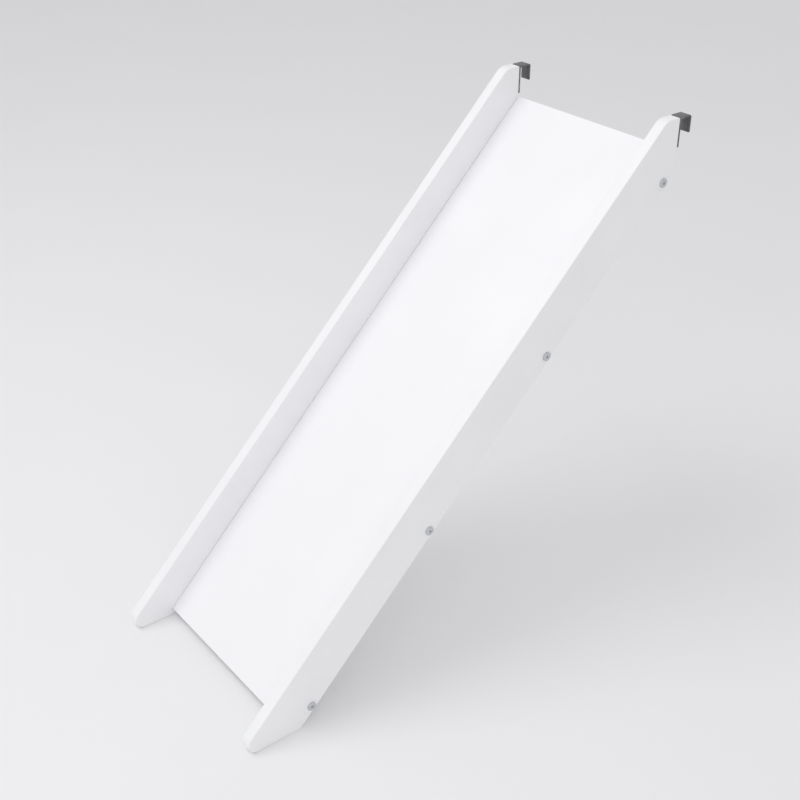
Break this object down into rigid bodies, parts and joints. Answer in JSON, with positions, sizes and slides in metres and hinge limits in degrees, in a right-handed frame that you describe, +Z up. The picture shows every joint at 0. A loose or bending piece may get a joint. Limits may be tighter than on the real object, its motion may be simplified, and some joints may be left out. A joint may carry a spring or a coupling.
{
  "type": "hook-on straight slide",
  "caption": "Straight children's slide for a low loft bed: grooved side boards, a thin panel on cross bars, steel hooks for the bed rail and a flat-cut toe.",
  "frame": {"origin": "centre of the bounding box's bottom, on the floor", "axes": "+Z up; X across the slide; the slide runs down towards -Y and its hooks are at the +Y end"},
  "size_m": [0.39, 0.8624, 0.833],
  "materials": {
    "painted_board": "smooth white satin paint",
    "sliding_surface": "smooth white satin lacquer on a thin board",
    "hook_steel": "dark grey powder coat on bent steel strap",
    "zinc_steel": "bright zinc plate",
    "beech": "bare fluted beech"
  },
  "bodies": {
    "root": {"side_board_left": "painted_board", "side_board_right": "painted_board", "slide_panel": "sliding_surface", "cross_bar_top": "painted_board", "cross_bar_upper": "painted_board", "cross_bar_lower": "painted_board", "cross_bar_bottom": "painted_board", "rail_hook_left": "hook_steel", "rail_hook_right": "hook_steel", "hook_screws": "zinc_steel", "connector_bolts": "zinc_steel", "barrel_nuts": "zinc_steel", "locating_dowels": "beech"}
  },
  "joints": []
}
